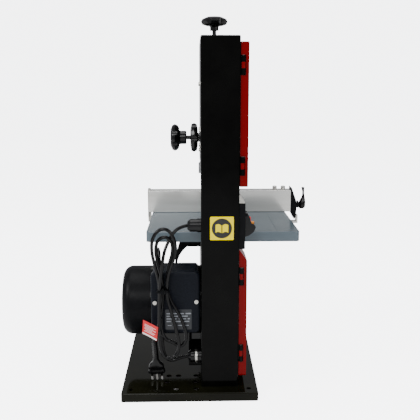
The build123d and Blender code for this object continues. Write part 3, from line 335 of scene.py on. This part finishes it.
def spline_length(route):
    """Length of the quadratic B-spline of the route, in metres."""
    n = len(route)
    knots = [0, 0, 0] + [i for i in range(1, n - 2)] + [n - 2] * 3
    total, prev = 0.0, Vector(route[0])
    for k in range(n - 2):
        for j in range(1, 21):
            u = k + j / 20
            i = k + 2
            d = [Vector(route[m]) for m in range(i - 2, i + 1)]
            for rr in range(1, 3):
                for q in range(2, rr - 1, -1):
                    den = knots[q + 1 + i - rr] - knots[q + i - 2]
                    al = 0 if den == 0 else (u - knots[q + i - 2]) / den
                    d[q] = d[q - 1] * (1 - al) + d[q] * al
            total += (d[2] - prev).length
            prev = d[2]
    return total * MM


mains = cord_curve("mains_cord_line", mains_route, 3.15, cord_pvc)
lead = cord_curve("motor_lead_line", lead_route, 3.15, cord_pvc)
print("mains", round(spline_length(mains_route), 4), "lead", round(spline_length(lead_route), 4))
for o in (mains, lead):
    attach(o, "frame")
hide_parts("mains_cord", "cord_hank")
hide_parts("motor_lead")

# three-pin plug along its own axis
top, tip = Vector((-128, 67.3, 108.6)), Vector((-104, 64.1, 18.6))
pd = (tip - top).normalized()
plen = (tip - top).length
pu = (Vector((0, 1, 0)) - pd * pd.y).normalized()
pv = pd.cross(pu)


def plug_section(d, w, t, n=40, e=2.6):
    pts = []
    for i in range(n):
        a = 2 * math.pi * i / n
        c, s = math.cos(a), math.sin(a)
        pts.append(top + pd * d + pu * (w / 2 * math.copysign(abs(c) ** (2 / e), c)) + pv * (t / 2 * math.copysign(abs(s) ** (2 / e), s)))
    return pts


bm = bmesh.new()
secs = [(-0.4, 8.0, 8.0), (0.6, 9.0, 9.0)]
d = 2.0
while d < 40:
    k = 8.8 + d * 0.055
    secs += [(d, k, k), (d + 0.5, k + 1.3, k + 1.3), (d + 2.2, k + 1.4, k + 1.4), (d + 2.7, k + 0.1, k + 0.1)]
    d += 4.4
secs += [(45, 12.4, 11.4), (48, 14.5, 12), (51, 19, 12.8), (54, 24.5, 13.4), (57, 28.5, 13.8), (60, 30.2, 14),
         (62, 29.4, 13.2), (66, 30, 13.4), (68, 32.6, 14.8), (plen - 20.5, 33.6, 15), (plen - 19.4, 32.6, 14.2)]
loft(bm, [plug_section(a, b, c, e=2.0 if a < 47 else 3.0) for a, b, c in secs])
plug = piece("plug_body", from_bm(bm, "plug_body"), black_glossy, "frame")
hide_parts("mains_plug")
bm = bmesh.new()
bs = bmesh.new()
for k in (-9.5, 0, 9.5):
    o = top + pd * (plen - 19.5) + pu * k
    revolve(bm, o, pd, [(-1, 1.95), (17.2, 1.95), (18.6, 1.6), (19.3, 0.9)], 24)
    if k:
        revolve(bs, o, pd, [(-0.5, 2.08), (9.6, 2.08), (9.9, 1.9)], 24)
pins = piece("plug_pins", from_bm(bm, "plug_pins"), pin_metal, "frame")
sleeves = piece("plug_sleeves", from_bm(bs, "plug_sleeves"), black_glossy, "frame")

# tie: a narrow strap with its square lock
bm = bmesh.new()
outer = round_rect(37.7, 59.5, -151.3, -128.7, 5.0, 8)
for z0, z1 in ((210.7, 215.3),):
    a = [bm.verts.new((x * MM, y * MM, z0 * MM)) for y, x in outer]
    b = [bm.verts.new((x * MM, y * MM, z1 * MM)) for y, x in outer]
    inner = round_rect(38.9, 58.3, -150.1, -129.9, 4.0, 8)
    c = [bm.verts.new((x * MM, y * MM, z0 * MM)) for y, x in inner]
    e = [bm.verts.new((x * MM, y * MM, z1 * MM)) for y, x in inner]
    n = len(outer)
    for i in range(n):
        j = (i + 1) % n
        bm.faces.new((a[i], a[j], b[j], b[i]))
        bm.faces.new((c[i], e[i], e[j], c[j]))
        bm.faces.new((a[i], c[i], c[j], a[j]))
        bm.faces.new((b[i], b[j], e[j], e[i]))
plate_x(bm, -153.4, -151.0, round_rect(45, 52, 209.6, 216.4, 0.8, 3))
plate_x(bm, -152.6, -151.2, round_rect(52, 60.5, 211.2, 214.6, 0.6, 3))
tie = piece("tie_strap", from_bm(bm, "tie_strap"), black_moulded, "frame")
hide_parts("cable_tie")

# tag: curled sheet on a thread, red with a printed block
bm = bmesh.new()
A, B, C, D = [Vector(p) for p in ((-153, 85.7, 161), (-153, 58, 145.6), (-153, 61, 119.5), (-153, 87.7, 135))]
nu, nv = 14, 12


def tag_point(u, v, lift):
    p = (A * (1 - u) + B * u) * (1 - v) + (D * (1 - u) + C * u) * v
    return p + Vector((lift + 1.6 * math.sin(math.pi * u) * 0.6 - 1.2 * v * v, 0, 0))


def tag_sheet(bm, u0, u1, v0, v1, lift, thick):
    grid = [[[bm.verts.new(tag_point(u0 + (u1 - u0) * i / nu, v0 + (v1 - v0) * j / nv, lift + s * thick) * MM)
              for j in range(nv + 1)] for i in range(nu + 1)] for s in (0, 1)]
    for s in (0, 1):
        for i in range(nu):
            for j in range(nv):
                bm.faces.new((grid[s][i][j], grid[s][i + 1][j], grid[s][i + 1][j + 1], grid[s][i][j + 1]))
    for i in range(nu):
        for j in (0, nv):
            bm.faces.new((grid[0][i][j], grid[0][i + 1][j], grid[1][i + 1][j], grid[1][i][j]))
    for j in range(nv):
        for i in (0, nu):
            bm.faces.new((grid[0][i][j], grid[0][i][j + 1], grid[1][i][j + 1], grid[1][i][j]))


tag_sheet(bm, 0, 1, 0, 1, 0, 0.5)
tag = piece("tag_sheet", from_bm(bm, "tag_sheet"), tag_red, "frame")
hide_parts("cord_tag")
bm = bmesh.new()
for k, (u0, u1) in enumerate(((0.12, 0.86), (0.12, 0.7), (0.16, 0.9), (0.12, 0.62), (0.2, 0.84), (0.12, 0.76))):
    v = 0.22 + 0.095 * k
    tag_sheet(bm, u0, u1, v, v + 0.05, -0.25, 0.15)
tag_lines = piece("tag_print", from_bm(bm, "tag_print"), tag_print, "frame")
bm = bmesh.new()
tag_sheet(bm, 0.02, 0.98, 0.88, 0.99, -0.25, 0.15)
tag_edge = piece("tag_edge", from_bm(bm, "tag_edge"), tag_white, "frame")

# band that holds the tag on the cord
bm = bmesh.new()
rings = []
for x, y, z in ((-147, 56.3, 128),):
    prof = [(0, 3.5), (0, 4.1), (9, 4.1), (9, 3.5)]
    revolve(bm, (x, y, z), (0, 0, 1), prof + [prof[0]], 28, cap=False)
    loft(bm, [[(-151.2, 56.0, z), (-150.6, 57.5, z), (-150.6, 57.5, z + 9), (-151.2, 56.0, z + 9)],
              [(-152.6, 58.8, z - 1), (-152.2, 59.6, z - 1), (-152.2, 59.6, z + 9), (-152.6, 58.8, z + 9)],
              [(-153.2, 62.5, z - 2), (-152.8, 62.5, z - 2), (-152.8, 62.5, z + 9), (-153.2, 62.5, z + 9)]])
tag_band = piece("tag_band", from_bm(bm, "tag_band"), black_glossy, "frame")

spline_length(mains_route)
spline_length(lead_route)

# ------------------------------------------------------------------ labels
bm = bmesh.new()
plate_x(bm, -134.45, -134.0, round_rect(-82.2, -38.6, 306.8, 350.8, 2.0))
lab = piece("label_plate", from_bm(bm, "label_plate"), label_yellow, "frame")
bm = bmesh.new()
plate_x(bm, -134.6, -134.4, disc(-60.4, 328.8, 18.5))
lab_disc = piece("label_disc", from_bm(bm, "label_disc"), ink, "frame")
bm = bmesh.new()
for s in (-1, 1):
    pts = [(-60.4 + s * 0.9, 320)]
    for i in range(9):
        u = i / 8
        pts.append((-60.4 + s * (0.9 + 10.8 * u), 320 + 2.6 * math.sin(math.pi * u * 0.9)))
    for i in range(9):
        u = 1 - i / 8
        pts.append((-60.4 + s * (0.9 + 10.8 * u), 334.5 + 2.6 * math.sin(math.pi * u * 0.9)))
    plate_x(bm, -134.75, -134.55, pts)
lab_book = piece("label_book", from_bm(bm, "label_book"), label_yellow, "frame")
bm = bmesh.new()
plate_x(bm, -124.45, -124.0, round_rect(-4, 46, 130, 170, 1.5))
rate = piece("rating_plate", from_bm(bm, "rating_plate"), plate_dark, "frame")
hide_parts("labels")
bm = bmesh.new()
for row, cells in enumerate(((0, 9, 11, 20, 24, 33, 36, 46), (0, 6, 9, 22, 25, 40), (0, 12, 15, 19, 23, 37, 40, 44),
                             (0, 8, 12, 26, 30, 43))):
    z = 163 - row * 5.2
    for a, b in zip(cells[::2], cells[1::2]):
        plate_x(bm, -124.6, -124.4, [(43.5 - a, z), (43.5 - a, z - 2.2), (43.5 - b, z - 2.2), (43.5 - b, z)])
for a, b in ((2, 9), (13, 17), (21, 30), (34, 42)):
    plate_x(bm, -124.6, -124.4, [(43.5 - a, 139), (43.5 - a, 137.6), (43.5 - b, 137.6), (43.5 - b, 139)])
lines = piece("rating_lines", from_bm(bm, "rating_lines", False), print_grey, "frame")

# ------------------------------------------------------------------ plated ring behind the lower gland
bm = bmesh.new()
revolve(bm, (-116, -22, 73), (0, 1, 0), [(7.2, 12.1), (7.2, 12.5), (7.6, 12.8), (11.4, 12.8), (11.8, 12.5), (11.8, 12.1)], 48)
piece("gland_ring", from_bm(bm, "gland_ring"), zinc, "frame")

# ------------------------------------------------------------------ pull nib of the stop flap
bm = bmesh.new()
a = [(-112.0, -115.2), (-120.0, -115.2), (-120.0, -120.4), (-119.0, -121.4), (-113.0, -121.4), (-112.0, -120.4)]
secs = []
for z, g in ((333.3, 0.35), (333.7, 0.0), (337.3, 0.0), (337.7, 0.35)):
    secs.append([(x + (g if x < -116 else -g) * (1 if x != -116 else 0), y + (g if y < -116 else 0), z) for x, y in a])
loft(bm, secs)
piece("flap_nib", from_bm(bm, "flap_nib"), orange, "switch_flap")

# ------------------------------------------------------------------ blade teeth on the straight run at the table
bm = bmesh.new()
bx = [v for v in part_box("saw_blade")[1]][0] * 1000.0
for k in range(44):
    z = 268 + k * 3.2
    s = 0.18 * (-1, 0, 1)[k % 3]
    pts = [(bx - 0.45 + s, -72.0, z + 3.0), (bx - 0.45 + s, -74.0, z + 0.4), (bx - 0.45 + s, -72.0, z),
           (bx - 0.05 + s, -72.0, z + 3.0), (bx - 0.05 + s, -74.0, z + 0.4), (bx - 0.05 + s, -72.0, z)]
    v = [bm.verts.new(Vector(p) * MM) for p in pts]
    for f in ((0, 1, 2), (5, 4, 3), (0, 3, 4, 1), (1, 4, 5, 2), (2, 5, 3, 0)):
        bm.faces.new([v[i] for i in f])
piece("blade_teeth", from_bm(bm, "blade_teeth", False), steel, "frame")

# ------------------------------------------------------------------ stage and lights
bm = bmesh.new()
bmesh.ops.create_grid(bm, x_segments=1, y_segments=1, size=6.0)
floor_mesh = bpy.data.meshes.new("floor")
bm.to_mesh(floor_mesh)
bm.free()
floor = bpy.data.objects.new("floor", floor_mesh)
bpy.context.scene.collection.objects.link(floor)
floor.location = (0, 0, -0.0006)
floor_mesh.materials.append(finish("floor_paper", (0.80, 0.80, 0.80), (0.83, 0.83, 0.83), rough=0.75, rough2=0.85,
                                   scale=6, bump=0.02, bump_scale=60))
# the paper glows to the camera only, except under the machine
ft = floor_mesh.materials[0].node_tree
fb = next(n for n in ft.nodes if n.type == "BSDF_PRINCIPLED")
fb.inputs["Emission Color"].default_value = (0.97, 0.98, 1.0, 1)
flp = N(ft, "ShaderNodeLightPath")
fco = N(ft, "ShaderNodeTexCoord")
fse = N(ft, "ShaderNodeSeparateXYZ")
ft.links.new(fco.outputs["Object"], fse.inputs["Vector"])
parts = []
for axis, half in (("X", 0.158), ("Y", 0.128)):
    ab = N(ft, "ShaderNodeMath", operation="ABSOLUTE")
    ft.links.new(fse.outputs[axis], ab.inputs[0])
    gt = N(ft, "ShaderNodeMath", operation="GREATER_THAN")
    ft.links.new(ab.outputs[0], gt.inputs[0])
    gt.inputs[1].default_value = half
    parts.append(gt)
fmx = N(ft, "ShaderNodeMath", operation="MAXIMUM")
ft.links.new(parts[0].outputs[0], fmx.inputs[0])
ft.links.new(parts[1].outputs[0], fmx.inputs[1])
fmu = N(ft, "ShaderNodeMath", operation="MULTIPLY")
ft.links.new(fmx.outputs[0], fmu.inputs[0])
ft.links.new(flp.outputs["Is Camera Ray"], fmu.inputs[1])
fmr = N(ft, "ShaderNodeMapRange")
fmr.inputs["To Min"].default_value = 0.0
fmr.inputs["To Max"].default_value = 5.2
ft.links.new(fmu.outputs[0], fmr.inputs["Value"])
ft.links.new(fmr.outputs["Result"], fb.inputs["Emission Strength"])
floor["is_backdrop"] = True

world = bpy.data.worlds.new("studio")
world.use_nodes = True
wt = world.node_tree
wt.nodes.clear()
wo = N(wt, "ShaderNodeOutputWorld")
wb = N(wt, "ShaderNodeBackground")
wb.inputs["Color"].default_value = (0.97, 0.98, 1.0, 1)
lp = N(wt, "ShaderNodeLightPath")
wm = N(wt, "ShaderNodeMapRange")
wm.inputs["To Min"].default_value = 0.42
wm.inputs["To Max"].default_value = 5.5
wt.links.new(lp.outputs["Is Camera Ray"], wm.inputs["Value"])
wt.links.new(wm.outputs["Result"], wb.inputs["Strength"])
wt.links.new(wb.outputs["Background"], wo.inputs["Surface"])
bpy.context.scene.world = world


def area(name, loc, target, size, power, size_y=None, color=(1, 1, 1)):
    la = bpy.data.lights.new(name, "AREA")
    la.shape = "RECTANGLE"
    la.size = size
    la.size_y = size_y or size
    la.energy = power
    la.color = color
    ob = bpy.data.objects.new(name, la)
    bpy.context.scene.collection.objects.link(ob)
    ob.location = loc
    ob.rotation_mode = "QUATERNION"
    ob.rotation_quaternion = (Vector(target) - Vector(loc)).to_track_quat("-Z", "Y")


area("key_left", (-0.9, 1.7, 1.7), (0, 0, 0.3), 1.0, 40)
area("fill_right", (-1.3, -1.6, 1.3), (0, 0, 0.35), 0.8, 16)
area("front", (-2.6, 0.5, 1.9), (0, 0, 0.3), 0.9, 30)
area("top", (0.1, 0.0, 2.2), (0, 0, 0.2), 1.6, 26)

size_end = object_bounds()
size_end = [[float(v) for v in size_end[0]], [float(v) for v in size_end[1]]]
